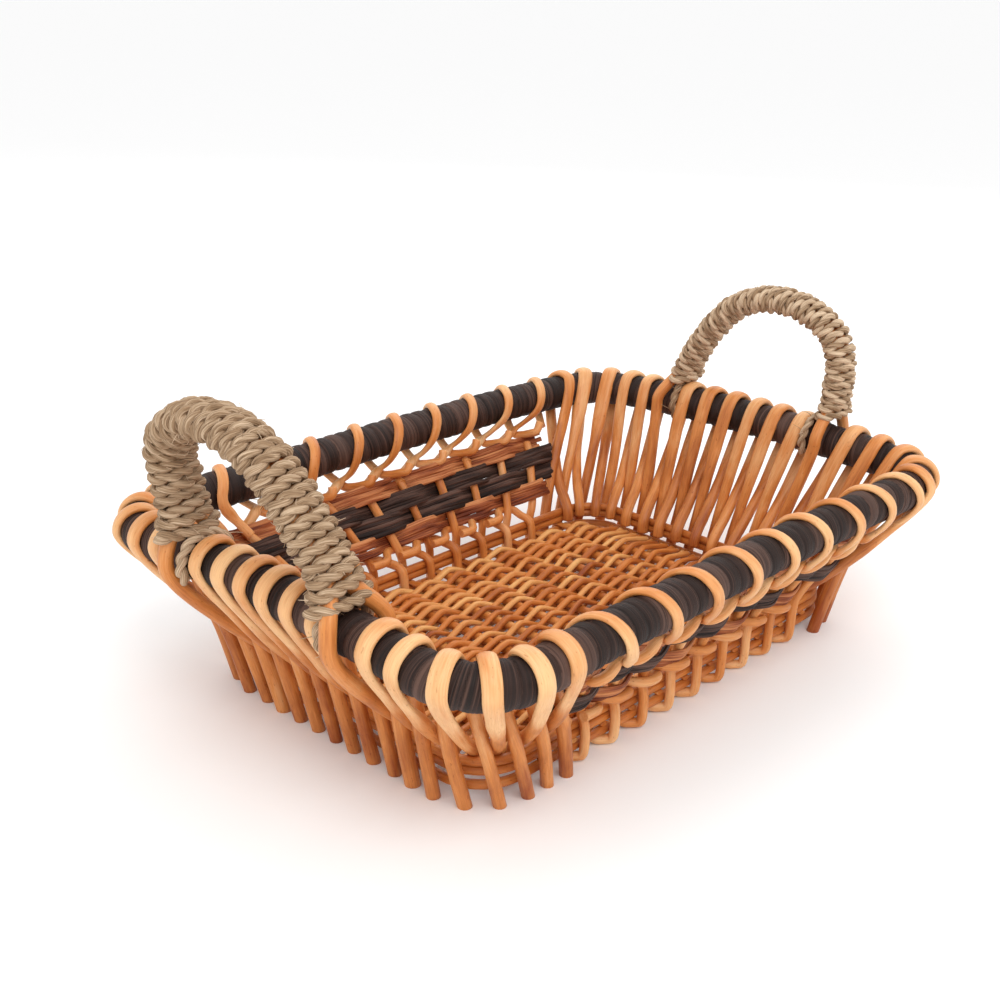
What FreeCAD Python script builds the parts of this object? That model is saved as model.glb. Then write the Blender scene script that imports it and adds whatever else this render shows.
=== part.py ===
import FreeCAD, Part
import Sketcher
import math
import os
from FreeCAD import Vector

# A low oblong bread basket of peeled willow: a woven base in a frame of stacked hoops, end walls of
# crossed rods bent over a wrapped rim, side walls of upright stakes with four woven bands, and two
# arched handles wrapped in rope. X runs along the basket, Z is up, and the origin is the middle of
# the footprint, on the table.

SIZES = [
    ("rim_length", 370.0, "rim centreline along X"),
    ("rim_width", 256.0, "rim centreline along Y"),
    ("rim_corner", 32.0, "rim centreline corner radius"),
    ("rim_low", 84.6, "height of the rim centreline over the corners"),
    ("rim_end_rise", 6.4, "how much higher the rim is at the middle of an end"),
    ("rim_side_rise", 4.4, "how much higher the rim is at the middle of a side"),
    ("rim_core_dia", 15.0, "bundle inside the rim"),
    ("rim_wrap_thick", 3.1, "thickness of the dark strands wound on the rim"),
    ("base_length", 289.0, "base frame centreline along X"),
    ("base_width", 184.0, "base frame centreline along Y"),
    ("base_corner", 25.0, "base frame centreline corner radius"),
    ("hoop_dia", 4.6, "one hoop of the base frame"),
    ("stick_tongue", 2.4, "thickness of a base stick's flattened end"),
    ("stick_dia", 5.0, "base stick"),
    ("stick_first", -105.0, "place of the base stick nearest the left end"),
    ("stick_count", 11.0, "number of base sticks"),
    ("weaver_dia", 3.0, "base weaver"),
    ("weaver_pitch", 4.1, "spacing of the base weavers"),
    ("rod_dia", 6.6, "end wall rod"),
    ("rod_pitch", 16.7, "spacing of the end wall rods along the rim"),
    ("corner_pitch", 17.2, "spacing of the corner rods along the rim"),
    ("base_share", 0.81, "rod spacing on the base frame over rod spacing on the rim, at the ends"),
    ("corner_share", 0.75, "the same, at the corners"),
    ("stake_dia", 5.0, "side wall stake and border strand"),
    ("stake_pitch", 31.2, "spacing of the stakes under the rim"),
    ("stake_foot_pitch", 22.0, "spacing of the stakes and sticks on the base frame"),
    ("front_stake_first", -80.0, "foot of the front stake nearest the left end"),
    ("back_stake_first", -84.0, "foot of the back stake nearest the left end"),
    ("front_stake_shift", 3.0, "middle of the front row of stakes, under the rim"),
    ("back_stake_shift", -6.0, "middle of the back row of stakes, under the rim"),
    ("stake_count", 9.0, "stakes in one side wall"),
    ("band_width", 8.6, "woven band"),
    ("band_thick", 1.6, "woven band"),
    ("band_pitch", 8.8, "spacing of the bands up the wall"),
    ("band_drop", 31.0, "rim centreline to the middle of the top band, down the wall"),
    ("handle_width", 116.0, "handle, foot to foot along Y"),
    ("handle_height", 54.0, "top of the handle arch above its wound part's lower ends"),
    ("handle_start", 21.0, "rim centreline up to the lowest turn of the handle rope"),
    ("left_handle_rod_dia", 7.6, "left handle core rod"),
    ("left_handle_rope_dia", 6.4, "rope wound on the left handle"),
    ("left_handle_lean", 7.0, "how far the left handle's top leans outward"),
    ("left_handle_shift", 7.0, "how far the left handle's top sits to its high side"),
    ("right_handle_rod_dia", 7.0, "right handle core rod"),
    ("right_handle_rope_dia", 5.2, "rope wound on the right handle"),
    ("right_handle_lean", 2.0, "how far the right handle's top leans outward"),
    ("right_handle_shift", 0.0, "how far the right handle's top sits to its high side"),
    ("gap", 0.3, "clearance between pieces that pass each other"),
]

RIGHT, LEFT = 1.0, -1.0
FRONT, BACK = -1.0, 1.0

doc = FreeCAD.newDocument("bread_basket")
sheet = doc.addObject("Spreadsheet::Sheet", "sizes")
for row, (alias, value, note) in enumerate(SIZES, start=1):
    sheet.set("A%d" % row, alias)
    sheet.set("B%d" % row, str(value))
    sheet.set("C%d" % row, note)
    sheet.setAlias("B%d" % row, alias)
doc.recompute()


def size(alias):
    return float(sheet.get(alias))


gap = size("gap")
rod_r = size("rod_dia") / 2
stake_r = size("stake_dia") / 2
hoop_r = size("hoop_dia") / 2
weaver_r = size("weaver_dia") / 2
stick_r = size("stick_dia") / 2
stake_count = int(size("stake_count"))
rim_core_r = size("rim_core_dia") / 2
rim_r = rim_core_r + size("rim_wrap_thick")

# Heights of the base frame: the stakes pass under the lowest hoop, and the tongues of the base
# sticks lie between the lower and the middle hoop.
lower_hoop_z = 2 * stake_r + 0.4 + hoop_r
stick_z = lower_hoop_z + hoop_r + size("stick_tongue") / 2 + 0.1
middle_hoop_z = stick_z + size("stick_tongue") / 2 + 0.1 + hoop_r
upper_hoop_z = middle_hoop_z + 2 * hoop_r + 0.1
frame_top_z = upper_hoop_z + hoop_r

RIM_RING = (size("rim_length") / 2, size("rim_width") / 2, size("rim_corner"))
BASE_RING = (size("base_length") / 2, size("base_width") / 2, size("base_corner"))


# Geometry helpers.

def ring_at(ring, end, run):
    """Point and outward normal of a rounded rectangle, at a length `run` counter-clockwise from the
    middle of one end."""
    half_x, half_y, radius = ring
    straight_x = half_x - radius
    straight_y = half_y - radius
    turn = math.copysign(1.0, run)
    rest = abs(run)
    arc = radius * math.pi / 2
    if rest <= straight_y:
        point, normal = Vector(half_x, rest, 0), Vector(1, 0, 0)
    elif rest <= straight_y + arc:
        angle = (rest - straight_y) / radius
        normal = Vector(math.cos(angle), math.sin(angle), 0)
        point = Vector(straight_x, straight_y, 0) + normal * radius
    else:
        point = Vector(straight_x - (rest - straight_y - arc), half_y, 0)
        normal = Vector(0, 1, 0)
    point = Vector(end * point.x, end * turn * point.y, 0)
    normal = Vector(end * normal.x, end * turn * normal.y, 0)
    return point, normal


def rim_height(point):
    """The rim dips a little at its corners."""
    half_x, half_y, _ = RIM_RING
    end_part = size("rim_end_rise") * (1 - (point.y / half_y) ** 2)
    side_part = size("rim_side_rise") * (1 - (point.x / half_x) ** 2)
    return size("rim_low") + end_part + side_part


def rim_at(end, run):
    point, normal = ring_at(RIM_RING, end, run)
    return Vector(point.x, point.y, rim_height(point)), normal


def base_at(end, run, height):
    point, normal = ring_at(BASE_RING, end, run)
    return Vector(point.x, point.y, height), normal


def blend(first, second, share):
    return first + (second - first) * share


def smooth_wire(points, share=0.45, closed=False):
    """Straight runs joined by tangent arcs: one wire through a polygon of control points."""
    count = len(points)
    corners = range(count) if closed else range(1, count - 1)
    bends = {}
    for i in corners:
        before, here, after = points[i - 1], points[i], points[(i + 1) % count]
        arrive = here - before
        leave = after - here
        turn = arrive.getAngle(leave)
        if turn < 0.002:
            bends[i] = (here, None, here)
            continue
        reach = share * min(arrive.Length, leave.Length)
        start = here - arrive * (reach / arrive.Length)
        finish = here + leave * (reach / leave.Length)
        inward = (start + finish) * 0.5 - here
        depth = reach * math.tan(turn / 4)
        middle = here + inward * (depth / inward.Length)
        bends[i] = (start, middle, finish)
    edges = []
    last = count if closed else count - 1
    for i in range(last):
        j = (i + 1) % count
        start = bends[i][2] if i in bends else points[i]
        finish = bends[j][0] if j in bends else points[j]
        if (finish - start).Length > 0.001:
            edges.append(Part.LineSegment(start, finish).toShape())
        if j in bends and bends[j][1] is not None:
            edges.append(Part.Arc(*bends[j]).toShape())
    return Part.Wire(edges)


def sweep(wire, radius):
    """A round rod along a wire."""
    first = wire.OrderedEdges[0]
    start = first.valueAt(first.FirstParameter)
    direction = first.tangentAt(first.FirstParameter)
    if first.Orientation == "Reversed":
        start = first.valueAt(first.LastParameter)
        direction = first.tangentAt(first.LastParameter) * -1
    section = Part.Wire([Part.Circle(start, direction, radius).toShape()])
    return wire.makePipeShell([section], True, False)


def rod(points, radius, share=0.45):
    return sweep(smooth_wire(points, share), radius)


def over_rail(centre, out, up, offset, first_deg, last_deg, corners=3):
    """Control points that carry a rod round a rail, clear of it, from one angle to another. Angles
    run from straight out (0) over the top (90) to straight in (180)."""
    step = (last_deg - first_deg) / corners
    reach = offset / math.cos(math.radians(abs(step) / 2))
    points = []
    for i in range(corners):
        angle = math.radians(first_deg + (i + 0.5) * step)
        points.append(centre + out * (reach * math.cos(angle)) + up * (reach * math.sin(angle)))
    return points


def cut_level(shape, height):
    """Cuts rod ends flush with the table."""
    box = Part.makeBox(800, 800, 100, Vector(-400, -400, height - 100))
    return shape.cut(box)


def add_piece(name, shape):
    piece = doc.addObject("Part::Feature", name)
    piece.Label = name
    piece.Shape = shape
    piece.Placement = FreeCAD.Placement()
    return piece


def add_group(name, solids):
    return add_piece(name, Part.makeCompound(solids))


# Base.

def add_hoop(name, height):
    """One hoop of the base frame: a round rod bent to a rounded rectangle and spliced."""
    body = doc.addObject("PartDesign::Body", name)
    body.Label = name
    planes = {plane.Role: plane for plane in body.Origin.OriginFeatures}
    path = body.newObject("Sketcher::SketchObject", name + "_path")
    path.AttachmentSupport = [(planes["XY_Plane"], "")]
    path.MapMode = "FlatFace"
    half_x, half_y, radius = BASE_RING
    straight_x, straight_y = half_x - radius, half_y - radius
    corners = [(straight_x, straight_y, 0), (-straight_x, straight_y, 90),
               (-straight_x, -straight_y, 180), (straight_x, -straight_y, 270)]
    arcs = []
    for x, y, start in corners:
        circle = Part.Circle(Vector(x, y, 0), Vector(0, 0, 1), radius)
        arcs.append(Part.ArcOfCircle(circle, math.radians(start), math.radians(start + 90)))
    ids = []
    for i, arc in enumerate(arcs):
        ids.append(path.addGeometry(arc, False))
        following = arcs[(i + 1) % 4]
        ids.append(path.addGeometry(Part.LineSegment(arc.EndPoint, following.StartPoint), False))
    for i in range(8):
        following = ids[(i + 1) % 8]
        path.addConstraint(Sketcher.Constraint("Tangent", ids[i], 2, following, 1))
    arc_ids = ids[0::2]
    for other in arc_ids[1:]:
        path.addConstraint(Sketcher.Constraint("Equal", arc_ids[0], other))
    path.addConstraint(Sketcher.Constraint("Horizontal", ids[1]))
    path.addConstraint(Sketcher.Constraint("Vertical", ids[3]))
    radius_id = path.addConstraint(Sketcher.Constraint("Radius", ids[0], radius))
    path.addConstraint(Sketcher.Constraint("Symmetric", ids[0], 3, ids[4], 3, -1, 1))
    x_id = path.addConstraint(Sketcher.Constraint("DistanceX", ids[2], 3, ids[0], 3, 2 * straight_x))
    y_id = path.addConstraint(Sketcher.Constraint("DistanceY", ids[6], 3, ids[0], 3, 2 * straight_y))
    path.setExpression("Constraints[%d]" % radius_id, "sizes.base_corner")
    path.setExpression("Constraints[%d]" % x_id, "sizes.base_length - 2 * sizes.base_corner")
    path.setExpression("Constraints[%d]" % y_id, "sizes.base_width - 2 * sizes.base_corner")
    section = body.newObject("Sketcher::SketchObject", name + "_section")
    section.AttachmentSupport = [(planes["YZ_Plane"], "")]
    section.MapMode = "FlatFace"
    circle_id = section.addGeometry(Part.Circle(Vector(half_y, 0, 0), Vector(0, 0, 1), hoop_r), False)
    size_id = section.addConstraint(Sketcher.Constraint("Diameter", circle_id, 2 * hoop_r))
    section.addConstraint(Sketcher.Constraint("PointOnObject", circle_id, 3, -1))
    side_id = section.addConstraint(Sketcher.Constraint("DistanceX", -1, 1, circle_id, 3, half_y))
    section.setExpression("Constraints[%d]" % size_id, "sizes.hoop_dia")
    section.setExpression("Constraints[%d]" % side_id, "sizes.base_width / 2")
    pipe = body.newObject("PartDesign::AdditivePipe", name + "_pipe")
    pipe.Profile = section
    pipe.Spine = (path, [])
    body.Tip = pipe
    body.Placement = FreeCAD.Placement(Vector(0, 0, height), FreeCAD.Rotation())
    return body


def stick_places():
    return [size("stick_first") + size("stake_foot_pitch") * i for i in range(int(size("stick_count")))]


def add_sticks():
    """Round sticks across the base, with flat tongues that the hoops hold."""
    half_y = size("base_width") / 2
    body_half = half_y - hoop_r - 0.4
    tongue_end = half_y + hoop_r * 0.6
    tongue = size("stick_tongue")
    sticks = []
    for x in stick_places():
        first = Vector(x, -body_half, stick_z)
        round_part = Part.makeCylinder(stick_r, 2 * body_half, first, Vector(0, 1, 0))
        corner = Vector(x - stick_r * 0.8, -tongue_end, stick_z - tongue / 2)
        flat_part = Part.makeBox(stick_r * 1.6, 2 * tongue_end, tongue, corner)
        sticks.append(round_part.fuse(flat_part).removeSplitter().Solids[0])
    add_group("base_sticks", sticks)


def add_weavers():
    """Thin willow woven along the base, over one stick and under the next."""
    rise = stick_r + weaver_r + 0.1
    full_x = size("base_length") / 2 - hoop_r - 2 * rod_r - 2 * gap - weaver_r
    corner_y = size("base_width") / 2 - size("base_corner")
    clear_y = size("base_width") / 2 - hoop_r - 2 * stake_r - 2 * gap - weaver_r
    rows = int(2 * clear_y / size("weaver_pitch"))
    flat = stick_r * 0.9
    places = stick_places()
    last = len(places) - 1
    lead = 0.7 * size("stake_foot_pitch")
    groups = ([], [])
    for row in range(rows + 1):
        y = size("weaver_pitch") * (row - rows / 2)
        half_x = full_x - (size("base_corner") * 0.6 if abs(y) > corner_y else 0)
        held = [i for i, x in enumerate(places) if abs(x) < half_x - 5.0]
        start = -half_x if held[0] == 0 else places[held[0]] - lead
        finish = half_x if held[-1] == last else places[held[-1]] + lead
        points = [Vector(start, y, stick_z)]
        for i in held:
            z = stick_z + (rise if (row + i) % 2 else -rise)
            points.append(Vector(places[i] - flat, y, z))
            points.append(Vector(places[i] + flat, y, z))
        points.append(Vector(finish, y, stick_z))
        groups[row % 2].append(rod(points, weaver_r))
    add_group("base_weavers_odd", groups[0])
    add_group("base_weavers_even", groups[1])


# Rim.

def rim_points():
    half_x, half_y, radius = RIM_RING
    arc = radius * math.pi / 2
    end_run = half_y - radius
    side_run = half_x - radius
    runs = [end_run * share for share in (0.0, 0.5, 0.9)]
    runs += [end_run + arc * share for share in (0.12, 0.37, 0.63, 0.88)]
    runs += [end_run + arc + side_run * share for share in (0.07, 0.4, 0.72)]
    points = []
    for end, sign in ((RIGHT, 1), (LEFT, -1), (LEFT, 1), (RIGHT, -1)):
        quarter = [rim_at(end, sign * run)[0] for run in runs]
        if sign == -1:
            quarter.reverse()
        points += quarter
    tidy = []
    for point in points:
        if not tidy or (point - tidy[-1]).Length > 1.0:
            tidy.append(point)
    if (tidy[0] - tidy[-1]).Length < 1.0:
        tidy.pop()
    return tidy


def add_rim():
    wire = smooth_wire(rim_points(), 0.45, closed=True)
    core = sweep(wire, rim_core_r)
    wrap = sweep(wire, rim_r).cut(core)
    add_piece("rim_core", core)
    add_piece("rim_wrap", wrap)


# End walls and corners.

MID_SHARE = 0.24        # where the rods cross, as a share of the way up the wall
MID_OUT = 4.2           # and how far outside the wall's line
OUT_FOOT, OUT_MID = 0.55, 0.27
IN_FOOT, IN_MID = -0.45, -0.23


def base_run(run):
    """Where a rod that stands at `run` on the rim stands on the base frame."""
    corner_start = end_runs()[-1] + size("corner_pitch")
    at_end = size("base_share") * min(abs(run), corner_start)
    at_corner = size("corner_share") * max(abs(run) - corner_start, 0.0)
    return math.copysign(at_end + at_corner, run)


def wall_point(end, rim_run, base_run_, share):
    top, out = rim_at(end, rim_run)
    bottom, _ = base_at(end, base_run_, frame_top_z)
    return blend(bottom, top, share), out


def leg_points(end, run, pitch, side):
    """The lower part of one leg, from its foot up to where it crosses the wall. Side is +1 for the
    leg that ends outside the base frame and -1 for the one that ends inside."""
    foot_shift, mid_shift = (OUT_FOOT, OUT_MID) if side > 0 else (IN_FOOT, IN_MID)
    at_corner = abs(run) > end_runs()[-1] + 1.0
    base_pitch = pitch * size("corner_share" if at_corner else "base_share")
    foot_off = hoop_r + rod_r + gap
    foot, out = base_at(end, base_run(run) + foot_shift * base_pitch, 0.0)
    middle_run = base_run(run) + mid_shift * base_pitch
    middle, mid_out = wall_point(end, run + mid_shift * pitch, middle_run, MID_SHARE)
    middle = middle + mid_out * MID_OUT
    if side > 0:
        foot = foot + out * foot_off
        return [Vector(foot.x, foot.y, -6.0) - out * 1.2, middle]
    foot = foot - out * foot_off
    low = Vector(foot.x, foot.y, stick_z + stick_r + gap)
    knee = Vector(foot.x, foot.y, frame_top_z + 1.2)
    return [low, knee, middle]


def hairpin(end, run, pitch):
    """One rod bent over the rim. Both legs cross the wall at mid height: the leg that comes down
    inside ends outside the base frame, and the other way round."""
    rise = leg_points(end, run, pitch, 1)
    fall = leg_points(end, run, pitch, -1)
    top, out = rim_at(end, run)
    offset = rim_r + rod_r + gap
    up = Vector(0, 0, 1)
    start = top - rise[-1]
    inward_deg = 180 + tangent_deg(start, out, offset, 1)
    finish = top - fall[-1]
    outward_deg = tangent_deg(finish, out, offset, -1)
    bend = over_rail(top, out, up, offset, inward_deg, outward_deg)
    return cut_level(rod(rise + bend + fall[::-1], rod_r), 0.0)


def tangent_deg(reach, out, offset, side):
    """How far below level a rod leaves the rail it goes round, when it comes from a point that is
    `reach` below it."""
    level = reach.dot(out)
    height = reach.z
    distance = math.hypot(level, height)
    lean = math.degrees(math.atan2(level, height))
    swing = math.degrees(math.asin(offset / distance))
    return swing - lean if side > 0 else -(swing + lean)


def end_runs():
    pitch = size("rod_pitch")
    return [pitch * (i - 5.5) for i in range(12)]


def handle_runs():
    runs = end_runs()
    return runs[2], runs[9]


def add_end(name, end):
    pins = [run for run in end_runs() if run not in handle_runs()]
    add_group(name, [hairpin(end, run, size("rod_pitch")) for run in pins])


def add_corner(name, end, sign, count):
    pitch = size("corner_pitch")
    first = sign * (end_runs()[-1] + pitch)
    runs = [first + sign * pitch * i for i in range(count)]
    add_group(name, [hairpin(end, run, pitch) for run in runs])


# Side walls.


def side_point(side, x_rim, x_base, share, out):
    """A point of a side wall: share goes up from the top of the base frame to the rim."""
    half_y = size("rim_width") / 2
    rim = Vector(x_rim, side * half_y, 0)
    rim.z = rim_height(rim)
    base = Vector(x_base, side * size("base_width") / 2, frame_top_z)
    point = blend(base, rim, share)
    run_y = half_y - size("base_width") / 2
    run_z = rim.z - frame_top_z
    slant = math.hypot(run_y, run_z)
    return point + Vector(0, side * run_z / slant, -run_y / slant) * out


def stake_place(side, index):
    prefix = "front" if side == FRONT else "back"
    x_rim = size(prefix + "_stake_shift") + size("stake_pitch") * (index - (stake_count - 1) / 2)
    first = size(prefix + "_stake_first")
    x_base = first + size("stake_foot_pitch") * index
    return x_rim, x_base


def base_frame_point(side, x, out, z):
    """A point beside the base frame: `out` from the middle of the hoops, at height z."""
    half_x, half_y, radius = BASE_RING
    past = max(abs(x) - (half_x - radius), 0.0)
    y = half_y - radius + math.sqrt(max(radius ** 2 - past ** 2, 0.0))
    return Vector(x, side * (y + out), z)


def stake(side, index):
    """An upright stake. It goes down outside the base frame, under it, up inside, and back over
    the top hoop. Its end runs on outside the next stake and inside the one after that."""
    x_rim, x_base = stake_place(side, index)
    off = hoop_r + stake_r + gap
    points = [side_point(side, x_rim, x_base, 0.575, 0), side_point(side, x_rim, x_base, 0.12, 0.5)]
    under = stake_r + 0.15
    over = frame_top_z + stake_r + 0.2
    back = 9.0
    points.append(base_frame_point(side, x_base, off, frame_top_z - 1.5))
    points.append(base_frame_point(side, x_base, off, under + 1.2))
    points.append(base_frame_point(side, x_base - 1.0, off - 3.2, under))
    points.append(base_frame_point(side, x_base - back + 3, -off + 3.2, under))
    points.append(base_frame_point(side, x_base - back + 1, -off, under + 3.0))
    points.append(base_frame_point(side, x_base - back, -off, over - 3.0))
    points.append(base_frame_point(side, x_base - back - 0.5, -off + 3.2, over))
    points.append(base_frame_point(side, x_base - back - 1.5, off - 2.0, over + 0.6))
    next_rim, next_base = stake_place(side, index - 1)
    passing = next_base + 0.13 * (next_rim - next_base)
    after = passing - size("stake_foot_pitch")
    if index > 0:
        points.append(base_frame_point(side, passing + 8, off + 4.4, over + 3.9))
        points.append(base_frame_point(side, passing - 3, off + 5.6, over + 5.4))
    if index > 1:
        points.append(base_frame_point(side, passing - 11, off - 0.6, over + 7.4))
        points.append(base_frame_point(side, after + 4, -5.2, over + 7.8))
        points.append(base_frame_point(side, after - 6, -4.6, over + 8.0))
    return rod(points, stake_r)


def border_strand(side, index):
    """The upper part of a stake: a cup that holds the tip of a loop, then in under the rim, up
    inside and over the rim as a loop, whose tip runs on inside the next cup and ends there."""
    x_own, x_foot = stake_place(side, index)
    pitch = size("stake_pitch")
    x_cup = x_own - pitch
    spread = size("stake_foot_pitch") / pitch

    def place(x, share, out):
        return side_point(side, x, x_foot + (x - x_own) * spread, share, out)

    points = []
    if index > 0:
        points += [place(x_cup - 1, 0.670, 3.8), place(x_cup + 1, 0.640, 7.8)]
        points += [place(x_cup + 8, 0.655, 8.8), place(x_cup + 14, 0.69, 8.4)]
        points += [place(x_cup + 22, 0.77, 5.2), place(x_cup + 27, 0.80, -1.5)]
    else:
        points += [place(x_own - 3, 0.62, -4.8), place(x_own - 2, 0.76, -4.8)]
    top = Vector(x_own + 11, side * size("rim_width") / 2, 0)
    top.z = rim_height(top)
    out = Vector(0, side, 0)
    bend = over_rail(top, out, Vector(0, 0, 1), rim_r + stake_r + gap, 222, -60, 5)
    for i, point in enumerate(bend):
        points.append(point + Vector(5.0 * (i - 2), 0, 0))
    points.append(place(x_own + 24.5, 0.738, 8.4))
    if index < stake_count - 1:
        points += [place(x_own + 28, 0.712, 3.6), place(x_own + 30.8, 0.70, -2.6)]
        points.append(place(x_own + 31.8, 0.69, -6.0))
    return rod(points, stake_r)


def add_side(prefix, side):
    stakes = [stake(side, i) for i in range(stake_count)]
    strands = [border_strand(side, i) for i in range(stake_count)]
    add_group(prefix + "_stakes", stakes)
    add_group(prefix + "_border_strands", strands)


def add_band(name, side, level, phase):
    """A flat strip woven inside one stake and outside the next."""
    half_y = size("rim_width") / 2
    wall_rise = size("rim_low") + size("rim_side_rise") - frame_top_z
    slant = math.hypot(half_y - size("base_width") / 2, wall_rise)
    share = 1 - (size("band_drop") + level * size("band_pitch")) / slant
    swing = stake_r + size("band_thick") / 2 + 0.15
    places = [stake_place(side, i) for i in range(stake_count)]
    spots = [side_point(side, xr, xb, share, 0) for xr, xb in places]
    lead = 5.0
    flat = stake_r + 2.0
    centre_line = [(spots[0].x - lead, 0.0)]
    sign = phase
    for spot in spots:
        centre_line.append((spot.x - flat, sign * swing))
        centre_line.append((spot.x + flat, sign * swing))
        sign = -sign
    centre_line.append((spots[-1].x + lead, 0.0))
    middle = spots[0]
    normal = side_point(side, *places[0], share, 1.0) - middle
    along_wall = side_point(side, *places[4], share + 0.1, 0) - side_point(side, *places[4], share, 0)
    up = Vector(0, along_wall.y, along_wall.z)
    up.normalize()
    origin = Vector(0, middle.y, middle.z)

    def strip_edge(shift):
        return [origin + Vector(x, 0, 0) + normal * (w + shift) for x, w in centre_line]

    half = size("band_thick") / 2
    outer = smooth_wire(strip_edge(half), 0.3)
    inner = smooth_wire(strip_edge(-half), 0.3)
    start = Part.LineSegment(inner.OrderedVertexes[0].Point, outer.OrderedVertexes[0].Point).toShape()
    end = Part.LineSegment(outer.OrderedVertexes[-1].Point, inner.OrderedVertexes[-1].Point).toShape()
    outline = Part.Wire(Part.__sortEdges__(outer.Edges + [end] + inner.Edges + [start]))
    width = size("band_width")
    face = Part.Face(outline)
    face.translate(up * (-width / 2))
    add_piece(name, face.extrude(up * width))


# Handles.

# The arch as shares of its width and height, from the upright leg to the slanting one.
ARCH = [(-0.50, 0.0), (-0.512, 0.36), (-0.475, 0.72), (-0.31, 0.96), (-0.09, 1.03),
        (0.13, 0.90), (0.27, 0.60), (0.37, 0.27), (0.435, 0.0)]


def arch_points(prefix, end):
    """Centreline of a handle's wound arch."""
    width = size("handle_width")
    height = size("handle_height")
    lean = size(prefix + "_lean")
    shift = size(prefix + "_shift")
    start_x = size("rim_length") / 2 + 3.5
    start_z = size("rim_low") + size("rim_end_rise") + size("handle_start")
    points = []
    for across, rise in ARCH:
        y = width * across - shift * rise
        points.append(Vector(end * (start_x + lean * rise), end * y, start_z + height * rise))
    return points


def handle_rod(prefix, end, layer):
    """One of the two core rods. Layer is +1 for the outer rod and -1 for the inner one. Below the
    rope each rod goes down its own side of the rim and on through the wall like the other rods."""
    radius = size(prefix + "_rod_dia") / 2
    spacing = radius + 0.1
    runs = handle_runs()
    feet = []
    for run in runs:
        legs = leg_points(end, run, size("rod_pitch"), -layer)
        top, out = rim_at(end, run)
        aside = out * (layer * (rim_r + radius + gap + 1.6))
        low = 8 if layer > 0 else 2
        feet.append(legs + [top + aside - Vector(0, 0, low), top + aside + Vector(0, 0, 7)])
    arch = [point + Vector(end * layer * spacing, 0, 0) for point in arch_points(prefix, end)]
    points = feet[0] + arch + feet[1][::-1]
    return cut_level(rod(points, radius, 0.42), 0.0)


def add_handle(prefix, end):
    rod_radius = size(prefix + "_rod_dia") / 2
    rope = size(prefix + "_rope_dia")
    outer = handle_rod(prefix, end, 1)
    inner = handle_rod(prefix, end, -1)
    wire = smooth_wire(arch_points(prefix, end), 0.42)
    start = arch_points(prefix, end)[0]
    first = wire.OrderedEdges[0]
    direction = first.tangentAt(first.FirstParameter)
    across = Vector(1, 0, 0)
    broad = 2 * rod_radius + 0.1 + rope
    narrow = rod_radius + rope
    third = direction.cross(across)
    ellipse = Part.Ellipse(start + across * broad, start + third * narrow, start)
    section = Part.Wire([ellipse.toShape()])
    sleeve = wire.makePipeShell([section], True, False)
    sleeve = sleeve.cut(outer).cut(inner)
    add_piece(prefix + "_outer_rod", outer)
    add_piece(prefix + "_inner_rod", inner)
    add_piece(prefix + "_rope", sleeve.Solids[0])


def add_lashing(name, prefix, end, run):
    """The rope's end, turned round the rim beside the handle's foot and tucked in below it."""
    radius = size(prefix + "_rope_dia") / 2 * 0.92
    offset = rim_r + radius + gap
    side = 1 if run > 0 else -1
    top, out = rim_at(end, run - side * 9.6)
    up = Vector(0, 0, 1)
    along = Vector(0, end * side, 0)
    bend = over_rail(top, out, up, offset, 205, -25, 4)
    points = [bend[0] - up * 9 + out * 4.5] + bend
    points += [bend[-1] - up * 9 - out * 4.5]
    shifted = []
    for i, point in enumerate(points):
        shifted.append(point + along * (0.5 * i - 1.2))
    add_piece(name, rod(shifted, radius))


# The whole basket.

add_hoop("base_hoop_lower", lower_hoop_z)
add_hoop("base_hoop_middle", middle_hoop_z)
add_hoop("base_hoop_upper", upper_hoop_z)
add_sticks()
add_weavers()
add_rim()
add_end("right_end_rods", RIGHT)
add_end("left_end_rods", LEFT)
add_corner("back_right_corner_rods", RIGHT, 1, 3)
add_corner("front_right_corner_rods", RIGHT, -1, 3)
add_corner("front_left_corner_rods", LEFT, 1, 4)
add_corner("back_left_corner_rods", LEFT, -1, 3)
add_side("front", FRONT)
add_side("back", BACK)
for prefix, side in (("front", FRONT), ("back", BACK)):
    add_band(prefix + "_upper_red_band", side, 0, 1)
    add_band(prefix + "_upper_dark_band", side, 1, -1)
    add_band(prefix + "_lower_dark_band", side, 2, 1)
    add_band(prefix + "_lower_red_band", side, 3, -1)
for prefix, end in (("right_handle", RIGHT), ("left_handle", LEFT)):
    add_handle(prefix, end)
add_lashing("right_front_lashing", "right_handle", RIGHT, handle_runs()[0])
add_lashing("right_back_lashing", "right_handle", RIGHT, handle_runs()[1])
add_lashing("left_back_lashing", "left_handle", LEFT, handle_runs()[0])
add_lashing("left_front_lashing", "left_handle", LEFT, handle_runs()[1])

doc.recompute()
for item in doc.Objects:
    if "Invalid" in item.State or "Error" in item.State:
        raise RuntimeError("%s failed: %s" % (item.Label, item.State))

pieces = [item for item in doc.Objects if item.TypeId in ("Part::Feature", "PartDesign::Body")]
for piece in pieces:
    if piece.Shape.isNull() or not piece.Shape.isValid():
        raise RuntimeError("%s has no valid shape" % piece.Label)

os.makedirs("parts", exist_ok=True)
for piece in pieces:
    piece.Shape.exportStep("parts/%s.step" % piece.Label)
    print("%-28s %3d solids  %9.1f mm3" % (piece.Label, len(piece.Shape.Solids), piece.Shape.Volume))
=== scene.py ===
import bpy
import math
import random
import numpy as np
from mathutils import Matrix, Vector


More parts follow.
